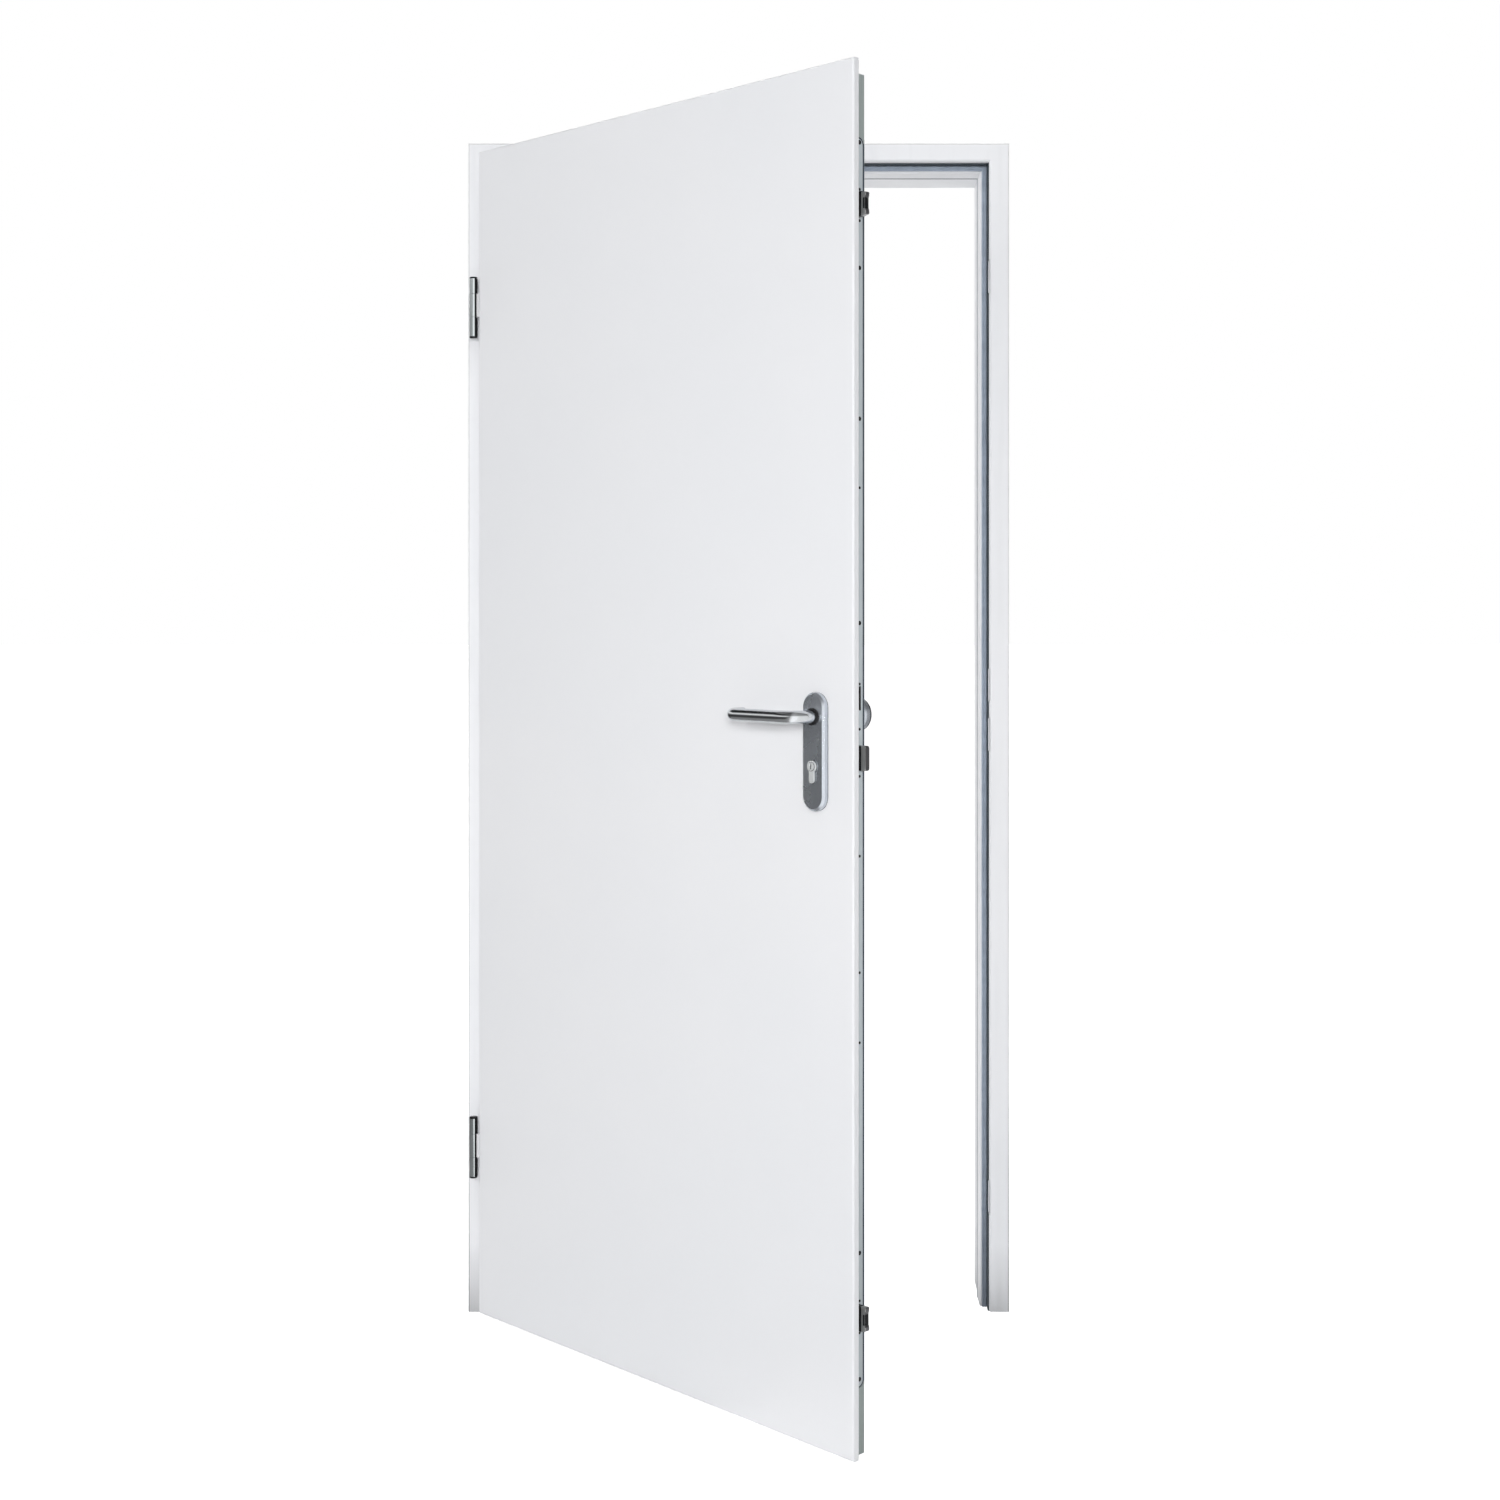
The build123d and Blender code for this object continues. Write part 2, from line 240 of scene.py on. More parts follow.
def coloured(tree, shader, tone, foot):
    """Put a tone on the shader, with painted shade toward the floor where that is asked for."""
    tree.links.new(shade_toward_floor(tree, tone, foot) if foot else tone, shader.inputs["Base Color"])


def paint(name, light, shade, foot=None):
    """Semi-matt powder coat: slight orange peel and a faint unevenness of tone."""
    material, tree, shader = new_material(name)
    place = place_of(tree)
    drift = span(tree, noise(tree, place, PAINT_DRIFT, 3.0), 0.0, 1.0)
    coloured(tree, shader, mixed(tree, drift, light, shade), foot)
    tree.links.new(span(tree, noise(tree, place, PAINT_GLOSS), *PAINT_ROUGH), shader.inputs["Roughness"])
    bumped(tree, shader, noise(tree, place, PAINT_PEEL, 2.0), *PEEL_BUMP)
    return material


def metal(name, bright, dull, grain, rough, bare=1.0, foot=None):
    """Metal with fine upright lines and cloudy gloss between two roughnesses; less bare is duller."""
    material, tree, shader = new_material(name)
    shader.inputs["Metallic"].default_value = bare
    lines = noise(tree, place_of(tree, METAL_STRETCH), grain, 6.0, 0.6)
    cloud = noise(tree, place_of(tree), METAL_CLOUD)
    coloured(tree, shader, mixed(tree, span(tree, lines, 0.0, 1.0), bright, dull), foot)
    tree.links.new(span(tree, cloud, *rough), shader.inputs["Roughness"])
    bumped(tree, shader, lines, *LINE_BUMP)
    return material


def rubber(name, light, dark, shine=0.5, foot=None):
    """Matt rubber or plastic with a fine skin."""
    material, tree, shader = new_material(name)
    shader.inputs["Specular IOR Level"].default_value = shine
    place = place_of(tree)
    drift = span(tree, noise(tree, place, RUBBER_DRIFT), 0.0, 1.0)
    coloured(tree, shader, mixed(tree, drift, light, dark), foot)
    tree.links.new(span(tree, noise(tree, place, RUBBER_GLOSS), *RUBBER_ROUGH), shader.inputs["Roughness"])
    bumped(tree, shader, noise(tree, place, RUBBER_SKIN, 2.0), *SKIN_BUMP)
    return material


def painted_beyond(material, centre, radius, colour):
    """Paint over a metal further than a radius from an upright line, in metres."""
    tree = material.node_tree
    shader = tree.nodes["Principled BSDF"]
    bare = shader.inputs["Base Color"].links[0].from_socket
    flat = add(
        tree, "ShaderNodeMapping", Vector=object_place(tree),
        Location=(-centre[0], -centre[1], 0.0), Scale=(1.0, 1.0, 0.0),
    )
    reach = vector_node(tree, "LENGTH", flat.outputs["Vector"])["Value"]
    painted = math_node(tree, "GREATER_THAN", reach, radius)
    tree.links.new(mixed(tree, painted, bare, colour), shader.inputs["Base Color"])
    tree.links.new(math_node(tree, "SUBTRACT", 1.0, painted), shader.inputs["Metallic"])


# Painted shade toward the floor: where it starts above the floor, in metres, and the share of the tone left at the
# floor
FRAME_FLOOR_SHADE = (0.12, 0.62)
RIM_FLOOR_SHADE = (0.45, 0.35)
EDGE_FLOOR_SHADE = (0.55, 0.5)
SEAL_FLOOR_SHADE = (0.35, 0.42)

WHITE = ((0.83, 0.835, 0.855), (0.80, 0.812, 0.838))
WING_WHITE = (0.82, 0.825, 0.845)
WING_START = 0.35

# Materials given a floor setting get painted shade toward the floor
MATERIALS = {
    "white_paint": paint("white_paint", *WHITE),
    "seal_rubber": rubber("seal_rubber", (0.37, 0.43, 0.52), (0.30, 0.35, 0.43), foot=SEAL_FLOOR_SHADE),
    "hinge_steel": metal("hinge_steel", (0.72, 0.77, 0.78), (0.58, 0.63, 0.64), 30.0, (0.14, 0.22)),
    "dark_steel": metal("dark_steel", (0.05, 0.05, 0.055), (0.02, 0.02, 0.022), 30.0, (0.3, 0.4)),
    "galvanised_steel": metal(
        "galvanised_steel", (0.76, 0.83, 0.86), (0.66, 0.73, 0.77), 20.0, (0.36, 0.46), 0.5, EDGE_FLOOR_SHADE
    ),
    "satin_steel": metal(
        "satin_steel", (0.64, 0.675, 0.73), (0.55, 0.585, 0.64), 60.0, (0.22, 0.30), 0.86
    ),
    "polished_steel": metal(
        "polished_steel", (0.72, 0.74, 0.76), (0.64, 0.66, 0.68), 60.0, (0.12, 0.19)
    ),
    "black_plastic": rubber("black_plastic", (0.02, 0.02, 0.022), (0.012, 0.012, 0.014)),
    "nickel": metal("nickel", (0.84, 0.86, 0.87), (0.74, 0.76, 0.77), 60.0, (0.2, 0.3), 0.4),
    "bolt_steel": metal("bolt_steel", (0.50, 0.50, 0.50), (0.40, 0.40, 0.40), 40.0, (0.3, 0.4), 0.7),
}
painted_beyond(MATERIALS["hinge_steel"], hinge_line, (KNUCKLE_RADIUS + WING_START) * MM, WING_WHITE)
# Frame paint with painted shade toward the floor
FRAME_PAINT = paint("frame_paint", *WHITE, FRAME_FLOOR_SHADE)
# Grey of the frame face's outer rim: painted shade of the rounded edge
EDGE_SHADE_PAINT = paint("edge_shade_paint", (0.71, 0.715, 0.72), (0.66, 0.665, 0.67), RIM_FLOOR_SHADE)
# Black of the hinge half-shells: painted shade and dark reflection of the gap behind the leaf
HINGE_SHADE_BLACK = rubber("hinge_painted_shade", (0.012, 0.012, 0.014), (0.007, 0.007, 0.008), shine=0.1)
ZINC_EDGE = metal(
    "zinc_edge", (0.60, 0.67, 0.66), (0.50, 0.57, 0.56), 16.0, (0.45, 0.55), 0.7, EDGE_FLOOR_SHADE
)
BOLT_END = metal("bolt_end", (0.24, 0.24, 0.25), (0.16, 0.16, 0.17), 40.0, (0.35, 0.45))
# Dark strips in the lock strip's groove and on the back edge: painted shade
EDGE_SHADE_RUBBER = rubber("edge_painted_shade", (0.060, 0.075, 0.100), (0.040, 0.050, 0.070))
SEAM_GREY = rubber("seam_grey", (0.44, 0.45, 0.48), (0.36, 0.37, 0.40))
GASKET_RUBBER = rubber("gasket_rubber", (0.030, 0.046, 0.056), (0.018, 0.028, 0.036))


def dress_nodes():
    """Give every carried-over node its slot's material, the frame's paint with painted shade toward the floor."""
    for row in frame["record"]["subparts"]:
        mesh = nodes[row["node"]].data
        mesh.materials.clear()
        painted_frame = row["material_slot"] == "white_paint" and not row["node"].startswith("leaf")
        mesh.materials.append(FRAME_PAINT if painted_frame else MATERIALS[row["material_slot"]])


# Mesh helpers: shapes are drawn in millimetres

SMOOTH_BELOW = 30.0
# Places in a piece's list of materials
SECOND, THIRD = 1, 2


def piece(name, shape, body, materials, on_leaf=False, node=None, smooth=SMOOTH_BELOW):
    """Object from a drawn shape, shaded smooth below an angle, riding on its body."""
    shape.normal_update()
    bmesh.ops.recalc_face_normals(shape, faces=shape.faces)
    place = Matrix.Scale(MM, 4)
    if on_leaf:
        place = shut_to_rest @ place
    bmesh.ops.transform(shape, matrix=place, verts=shape.verts)
    for face in shape.faces:
        face.smooth = True
    for edge in shape.edges:
        edge.smooth = len(edge.link_faces) == 2 and edge.calc_face_angle(0.0) < math.radians(smooth)
    mesh = bpy.data.meshes.new(name)
    shape.to_mesh(mesh)
    shape.free()
    for material in materials:
        mesh.materials.append(material)
    thing = bpy.data.objects.new(name, mesh)
    bpy.context.scene.collection.objects.link(thing)
    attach(thing, body)
    if node:
        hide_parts(node)
    return thing


def bridged(shape, ring, following, material):
    """Band of faces between two rings of equal length."""
    count = len(ring)
    for i in range(count):
        j = (i + 1) % count
        face = shape.faces.new((ring[i], ring[j], following[j], following[i]))
        face.material_index = material


def loft(shape, rings, material=0):
    """Closed skin through rings of equal length, capped at both ends."""
    made = [[shape.verts.new(point) for point in ring] for ring in rings]
    for ring, following in zip(made, made[1:]):
        bridged(shape, ring, following, material)
    for end in (made[0], made[-1]):
        shape.faces.new(end).material_index = material


def hoop(shape, rings, material=0):
    """Closed skin through rings that join up again, such as a band round a knob."""
    made = [[shape.verts.new(point) for point in ring] for ring in rings]
    for ring, following in zip(made, made[1:] + made[:1]):
        bridged(shape, ring, following, material)


def around_turn(count):
    """Angles once round a circle."""
    return [2 * math.pi * i / count for i in range(count)]


def lathe(shape, profile, place, count):
    """Skin turned round a local upright from (radius, height) points, the ends closed by small faces."""
    rings = []
    for radius, height in profile:
        turned = [(radius * math.cos(a), radius * math.sin(a), height) for a in around_turn(count)]
        rings.append([place @ Vector(point) for point in turned])
    loft(shape, rings)


def ring_plate(shape, outer, inner, low, high, place, material=0):
    """Plate with an opening, from (across, up) outlines, between two heights along a place's Z."""
    edges = []
    for outline in (outer, inner):
        loop = [shape.verts.new(place @ Vector((across, up, low))) for across, up in outline]
        edges += [shape.edges.new((a, b)) for a, b in zip(loop, loop[1:] + loop[:1])]
    made = bmesh.ops.triangle_fill(shape, use_beauty=True, use_dissolve=False, edges=edges)
    faces = [item for item in made["geom"] if isinstance(item, bmesh.types.BMFace)]
    raised = bmesh.ops.extrude_face_region(shape, geom=faces)
    moved = [item for item in raised["geom"] if isinstance(item, bmesh.types.BMVert)]
    bmesh.ops.translate(shape, vec=place.to_3x3() @ Vector((0.0, 0.0, high - low)), verts=moved)
    skin = set(faces) | {face for vert in moved for face in vert.link_faces}
    for face in skin:
        face.material_index = material


def arc(centre, radius, start, end, steps):
    """Points on an arc, angles in degrees."""
    angles = [math.radians(start + (end - start) * i / steps) for i in range(steps + 1)]
    return [(centre[0] + radius * math.cos(a), centre[1] + radius * math.sin(a)) for a in angles]


def circle(radius, steps):
    """Points once round a circle about zero."""
    return arc((0.0, 0.0), radius, 0, 360, steps)[:-1]


def rectangle(x0, x1, y0, y1):
    """Corners of a rectangle, once round."""
    return [(x0, y0), (x1, y0), (x1, y1), (x0, y1)]


def stadium(width, low, high, steps=16):
    """Upright round-ended outline about zero, as (across, height) points."""
    radius = width / 2
    upper = arc((0.0, high - radius), radius, 0, 180, steps)
    return upper + arc((0.0, low + radius), radius, 180, 360, steps)


# Fine pieces of the frame

# Bulb seal's section, as (from the rebate wall, height over the stop)
SEAL_PROFILE = (
    (3.2, 0.0), (2.7, 0.7), (1.8, 1.5), (1.55, 2.4), (1.8, 3.5), (2.6, 4.4), (3.8, 4.9), (4.9, 4.75),
    (5.6, 4.35), (6.1, 4.1), (6.6, 4.35), (7.3, 4.75), (8.4, 4.85), (9.5, 4.3), (10.2, 3.4), (10.4, 2.4),
    (10.1, 1.5), (9.4, 0.8), (9.0, 0.0),
)
SEAL_SMOOTH = 50.0
# Height of the foot of the gaskets and beads over the floor
FOOT_LIFT = 0.5


def jamb_run(outline, low, lock_side, high=None):
    """Two rings of an outline of (from the rebate wall, depth), up a jamb to a height or the mitre."""
    rings = []
    for top in (False, True):
        ring = []
        for across, depth in outline:
            x = X_REBATE_LOCK - across if lock_side else X_REBATE_HINGE + across
            z = low if not top else (Z_REBATE - across if high is None else high)
            ring.append((x, depth, z))
        rings.append(ring)
    return rings


def head_run(outline):
    """Two rings of an outline run across the head between the mitres."""
    left = [(X_REBATE_HINGE + across, depth, Z_REBATE - across) for across, depth in outline]
    right = [(X_REBATE_LOCK - across, depth, Z_REBATE - across) for across, depth in outline]
    return [left, right]


def add_seals():
    """Two-lobed bulb seal on the stop, mitred at the corners."""
    outline = [(across, Y_STOP - height) for across, height in SEAL_PROFILE]
    rubbers = [MATERIALS["seal_rubber"]]
    runs = {
        "hinge_side_seal": jamb_run(outline, 0.0, False),
        "lock_side_seal": jamb_run(outline, 0.0, True),
        "head_seal": head_run(outline),
    }
    for node, rings in runs.items():
        shape = bmesh.new()
        loft(shape, rings)
        piece(node + "_bulb", shape, "frame", rubbers, node=node, smooth=SEAL_SMOOTH)


# Gasket on the rebate wall: its depths, and how it keeps clear of the bolts' and latch's slots
GASKET_THICKNESS = 1.8
GASKET_SHOULDER = 0.6
GASKET_SLOPE = 0.6
GASKET_FRONT = 2.4
GASKET_HEAD = 9.5
GASKET_SPLIT = 15.0
GASKET_BACK = 23.0
STRIKE_DROP = 5.0
STRIKE_REACH = 28.5


def gasket_outline(front, back):
    """Flat strip on the rebate wall, as (from the wall, depth), with softened edges."""
    thick = GASKET_THICKNESS
    shoulder = thick * GASKET_SHOULDER
    nose = [(thick, front + GASKET_SLOPE), (thick, back - GASKET_SLOPE)]
    return [(0.0, front), (shoulder, front)] + nose + [(shoulder, back), (0.0, back)]


def add_gaskets():
    """Dark strips on the rebate walls, the lock side's front half left out where bolts and latch pass."""
    front = gasket_outline(GASKET_FRONT, GASKET_SPLIT)
    lock_runs = []
    low = FOOT_LIFT
    for middle in sorted(level - STRIKE_DROP for level in (*BOLT_LEVELS.values(), LATCH_LEVEL)):
        lock_runs.append(jamb_run(front, low, True, middle - STRIKE_REACH))
        low = middle + STRIKE_REACH
    lock_runs.append(jamb_run(front, low, True))
    lock_runs.append(jamb_run(gasket_outline(GASKET_SPLIT, GASKET_BACK), FOOT_LIFT, True))
    runs = {
        "lock_rebate_gasket": lock_runs,
        "hinge_rebate_gasket": [jamb_run(gasket_outline(GASKET_FRONT, GASKET_BACK), FOOT_LIFT, False)],
        "head_rebate_gasket": [head_run(gasket_outline(GASKET_HEAD, GASKET_BACK))],
    }
    for name, parts in runs.items():
        shape = bmesh.new()
        for rings in parts:
            loft(shape, rings)
        piece(name, shape, "frame", [GASKET_RUBBER])


# Sealant bead's section, as (out from the front reveal, past its edge)
SEAM_PROFILE = (
    (-0.3, -2.2), (0.5, -1.9), (0.9, -1.3), (1.2, -0.4), (1.0, 0.8), (0.2, 2.0),
    (-SHEET, 3.2), (-SHEET, 0.05),
)
SEAM_SMOOTH = 60.0


def add_seams():
    """Grey sealant bead along the lap joint between the front and rear frames."""
    outline = [(STOP_WIDTH + out, Y_SEAM + past) for out, past in SEAM_PROFILE]
    shape = bmesh.new()
    for rings in (jamb_run(outline, FOOT_LIFT, False), jamb_run(outline, FOOT_LIFT, True), head_run(outline)):
        loft(shape, rings)
    piece("frame_seam", shape, "frame", [SEAM_GREY], smooth=SEAM_SMOOTH)


# Face rim's section, as (in from the outer edge, back from the face), and its height over the floor
RIM_PROFILE = ((0.5, 0.3), (0.6, -0.12), (2.05, -0.12), (2.2, 0.3))
RIM_LIFT = 0.3


def add_face_edge_shade():
    """Narrow grey rim along the outer edge of the frame's face, mitred at the corners: painted shade of the
    rounded edge.
    """
    sides = []
    for edge, inward in zip(X_FACE, (1.0, -1.0)):
        outline = [(edge + across * inward, back - SHEET, across) for across, back in RIM_PROFILE]
        foot = [(x, y, RIM_LIFT) for x, y, _ in outline]
        mitre = [(x, y, Z_FACE - across) for x, y, across in outline]
        sides.append([foot, mitre])
    shape = bmesh.new()
    for rings in (*sides, [mitre for _, mitre in sides]):
        loft(shape, rings)
    piece("face_edge_shade_rim", shape, "frame", [EDGE_SHADE_PAINT])


SLEEVE_THICKNESS = 0.3
SLEEVE_SECTOR = (-62.0, 75.0)
SLEEVE_STEPS = 18


def add_hinge_shade_sleeves():
    """Black half-shell on the leaf's side of each hinge lobe: painted shade and dark reflection of the gap behind
    the leaf.
    """
    axis = hinge_line / MM
    inner = arc((axis.x, axis.y), KNUCKLE_RADIUS, *SLEEVE_SECTOR, SLEEVE_STEPS)
    outer = arc((axis.x, axis.y), KNUCKLE_RADIUS + SLEEVE_THICKNESS, *SLEEVE_SECTOR, SLEEVE_STEPS)
    outline = inner + outer[::-1]
    for name, level in HINGE_LEVELS.items():
        for index, (low, high, body) in enumerate(HINGE_LOBES):
            shape = bmesh.new()
            loft(shape, [[(x, y, level + z) for x, y in outline] for z in (low, high)])
            title = f"{name}_hinge_shade_sleeve_{index + 1}"
            piece(title, shape, body, [HINGE_SHADE_BLACK])


# Fine pieces of the leaf

# Screws on the lock edge: height and head radius, and the section as (share of the radius, height)
EDGE_SCREWS = (
    (1897.0, 3.4), (1829.0, 2.3), (1784.0, 2.3), (1716.0, 3.2), (1498.5, 3.2), (1399.0, 2.1),
    (1204.0, 3.2), (1116.0, 2.1), (1051.0, 2.1), (983.0, 2.1), (868.0, 2.1), (700.0, 2.1),
    (599.0, 2.1), (296.0, 3.2), (227.0, 2.1), (181.0, 2.1), (114.0, 3.2),
)
SCREW_LINE = 11.5
SCREW_PROFILE = (
    (1.0, -0.3), (1.0, 0.2), (0.94, 0.36), (0.78, 0.45), (0.5, 0.45), (0.46, 0.4), (0.42, 0.08), (0.1, 0.06),
)
SCREW_SIDES = 24


def edge_place(depth, height):
    """Frame of a spot on the lock edge: local Z points out of the edge."""
    turn = Matrix(((0.0, 0.0, 1.0), (1.0, 0.0, 0.0), (0.0, 1.0, 0.0))).to_4x4()
    return Matrix.Translation((X_BODY_LOCK, depth, height)) @ turn


def add_edge_screws():
    """Blackened socket screws along the lock strip."""
    shape = bmesh.new()
    for level, radius in EDGE_SCREWS:
        profile = [(radius * share, height) for share, height in SCREW_PROFILE]
        lathe(shape, profile, edge_place(SCREW_LINE, level), SCREW_SIDES)
    piece("lock_edge_screws", shape, "leaf", [MATERIALS["dark_steel"]], on_leaf=True)


EDGE_CHANNEL = 0.4
CHANNEL_BACK = 2.2
CHANNEL_END = 1.0
LINING_DEPTH = 0.15


def add_edge_channel():
    """Zinc channel that closes the leaf's lock edge, and a dark strip in the groove round the lock strip: painted
    shade of the groove.
    """
    place = edge_place(Y_LOCK_LINE, 0.0)
    groove = STRIP_GROOVE
    low, high = STRIP_RANGE
    opening = stadium(STRIP_WIDTH + 2 * groove, low - groove, high + groove)
    depths = (Y_LIP_BACK - Y_LOCK_LINE, Y_BODY_BACK - CHANNEL_BACK - Y_LOCK_LINE)
    outline = rectangle(*depths, Z_BODY[0] + CHANNEL_END, Z_BODY[1] - CHANNEL_END)
    shape = bmesh.new()
    ring_plate(shape, outline, opening, 0.0, EDGE_CHANNEL, place)
    piece("lock_edge_channel", shape, "leaf", [ZINC_EDGE], on_leaf=True)
    shape = bmesh.new()
    ring_plate(shape, opening, stadium(STRIP_WIDTH, low, high), -STRIP_THICKNESS, -LINING_DEPTH, place)
    piece("lock_strip_groove_shade", shape, "leaf", [EDGE_SHADE_RUBBER], on_leaf=True)


LATCH_BUSH = 0.45
LATCH_LIP = 0.9
LIP_RANGE = (0.05, 0.2)


def grown(outline, by):
    """Outline about zero with every corner moved out by a length."""
    return [(across + math.copysign(by, across), up + math.copysign(by, up)) for across, up in outline]


def add_latch_mouth():
    """Black bush in the latch's slot, with a narrow lip on the strip."""
    half, tall = LATCH_SIZE[0] / 2, LATCH_SIZE[1] / 2
    inner = rectangle(-half, half, -tall, tall)
    place = edge_place(Y_LOCK_LINE, LATCH_LEVEL)
    shape = bmesh.new()
    ring_plate(shape, grown(inner, LATCH_BUSH), inner, -LATCH_RECESS, LIP_RANGE[0], place)
    ring_plate(shape, grown(inner, LATCH_LIP), inner, *LIP_RANGE, place)
    piece("latch_mouth", shape, "leaf", [MATERIALS["black_plastic"]], on_leaf=True)


SHADE_STRIP_FACES = (-0.1, 0.3)
SHADE_STRIP_ARC = 52
SHADE_STRIP_STEPS = 8


def add_back_edge_shade():
    """Dark strip along the leaf's rounded back edge beside the lock strip: painted shade of that edge."""
    centre = (X_BODY_LOCK - EDGE_FILLET, Y_BODY_BACK - EDGE_FILLET)
    inner, outer = (arc(centre, EDGE_FILLET + rise, 0, SHADE_STRIP_ARC, SHADE_STRIP_STEPS) for rise in SHADE_STRIP_FACES)
    outline = inner + outer[::-1]
    shape = bmesh.new()
    loft(shape, [[(x, y, z) for x, y in outline] for z in STRIP_RANGE])
    piece("lock_edge_shade_strip", shape, "leaf", [EDGE_SHADE_RUBBER], on_leaf=True)


# Bolts: the head's start, drop above, taper below and corner radius, and the notch between two pads
BOLT_EASE = 0.2
BOLT_HEAD_START = 891.0
BOLT_DROP = {"top": 2.2, "main": 0.0, "bottom": 0.0}
BOLT_TAPER = {"top": 2.2, "main": 0.5, "bottom": 2.2}
BOLT_CORNER = {"top": 1.6, "main": 3.0, "bottom": 1.6}
CORNER_STEPS = 6
BOLT_PAD = 6.0
BOLT_NOTCH = 2.4
BOLT_BEVEL = {"offset": 1.0, "segments": 3, "profile": 0.6}
END_DEPTH = 4.0
END_FACING = 0.2
SHANK_INSET = (0.35, 0.5)
BAR_PROUD = 0.05
BAR_RANGE = (-2.6, 0.25)
PIN_PLACE = (895.2, 1.5)
PIN_PROFILE = (
    (2.3, -0.3), (2.3, 0.04), (2.1, 0.1), (1.5, 0.1), (1.35, 0.03), (1.1, 0.03), (0.9, 0.13), (0.2, 0.15),
)
PIN_SIDES = 20


def bolt_outline(name):
    """Side view of a bolt's head as (X, height): the outer two slope below and are notched at the end."""
    tip = X_BODY_LOCK + BOLT_THROW
    half = BOLT_HALF - BOLT_EASE
    corner = BOLT_CORNER[name]
    high = half - BOLT_DROP[name]
    low = half - BOLT_TAPER[name]
    upper = arc((tip - corner, high - corner), corner, 90, 0, CORNER_STEPS)
    lower = arc((tip - corner, corner - low), corner, 0, -90, CORNER_STEPS)
    notch = []
    if name != "main":
        inset = tip - BOLT_NOTCH
        top, bottom = high - BOLT_PAD, BOLT_PAD - low
        notch = [(tip, top), (inset, top - BOLT_NOTCH), (inset, bottom + BOLT_NOTCH), (tip, bottom)]
    return [(BOLT_HEAD_START, high)] + upper + notch + lower + [(BOLT_HEAD_START, -half)]


def add_bolts():
    """Bolts with a black shank and a bevelled head, the outer two notched with a black bar in the notch, the main
    one with a pin; the black is painted shade of the slot and the notch.
    """
    y0, y1 = BOLT_FACES
    tip = X_BODY_LOCK + BOLT_THROW
    half = BOLT_HALF - BOLT_EASE
    steels = [MATERIALS["bolt_steel"], MATERIALS["dark_steel"], BOLT_END]
    for name, level in BOLT_LEVELS.items():
        shape = bmesh.new()
        outline = bolt_outline(name)
        loft(shape, [[(x, y, level + z) for x, z in outline] for y in (y0, y1)])
        rims = [e for e in shape.edges if len({round(v.co.y, 3) for v in e.verts}) == 1]
        bmesh.ops.bevel(shape, geom=rims, affect="EDGES", clamp_overlap=True, **BOLT_BEVEL)
        shape.normal_update()
        for face in shape.faces:
            if abs(face.normal.y) < END_FACING and face.calc_center_median().x > tip - END_DEPTH:
                face.material_index = THIRD
        # Black shank: painted shade of the slot behind the bolt head
        deep, tall = SHANK_INSET
        shank = rectangle(y0 + deep, y1 - deep, tall - half, half - tall)
        ends = (X_BODY_LOCK - BOLT_TAIL, BOLT_HEAD_START)
        loft(shape, [[(x, y, level + z) for y, z in shank] for x in ends], SECOND)
        if name == "main":
            turn = Matrix.Rotation(math.radians(90), 4, "X")
            pin = Matrix.Translation((PIN_PLACE[0], y0, level + PIN_PLACE[1])) @ turn
            lathe(shape, PIN_PROFILE, pin, PIN_SIDES)
        else:
            # Black bar in the notch: painted shade of the notch
            reach = half - BOLT_PAD - BOLT_NOTCH - BOLT_TAPER[name]
            bar = rectangle(y0 - BAR_PROUD, y1 + BAR_PROUD, -reach, reach)
            sides = [tip - BOLT_NOTCH + side for side in BAR_RANGE]
            loft(shape, [[(x, y, level + z) for y, z in bar] for x in sides], SECOND)
        piece(name + "_bolt_detail", shape, "bolts", steels, on_leaf=True, node=name + "_bolt")


# Cylinder: edge steps as (growth, depth), the plug, the keyway's outline and floor, and the black rings, painted
# shade of the gaps
CYLINDER_EDGE = ((-0.7, 0.0), (-0.2, 0.15), (0.0, 0.6))
PLUG_RADIUS = 6.5
PLUG_PROUD = 1.0
PLUG_EASE = 0.3
PLUG_STEPS = 40
KEYWAY = (
    (-1.1, -4.0), (1.1, -4.0), (1.1, -1.4), (0.45, -0.9), (1.1, -0.3), (1.1, 2.6), (0.2, 3.2), (0.2, 4.0),
    (-1.1, 4.0), (-1.1, 1.3), (-0.4, 0.7), (-1.1, 0.1),
)
KEYWAY_FLOOR = rectangle(-1.3, 1.3, -4.2, 4.2)
FLOOR_RANGE = (-0.3, 0.06)
LAYER_START = 0.02
COLLAR_GROW = 0.35
COLLAR_TOP = 0.12
SHADE_GAP_GROW = (1.0, 0.05)
SHADE_GAP_TOP = 0.2


def euro_profile(grow, steps=20):
    """Profile cylinder's outline as (across, up): a barrel over a web with a round foot."""
    radius = CYLINDER_RADIUS + grow
    web = CYLINDER_WEB / 2 + grow
    drop = CYLINDER_LENGTH - CYLINDER_RADIUS - CYLINDER_WEB / 2
    neck = math.degrees(math.acos(web / radius))
    barrel = arc((0.0, 0.0), radius, -neck, 180 + neck, 2 * steps)
    return barrel + arc((0.0, -drop), web, 180, 360, steps)


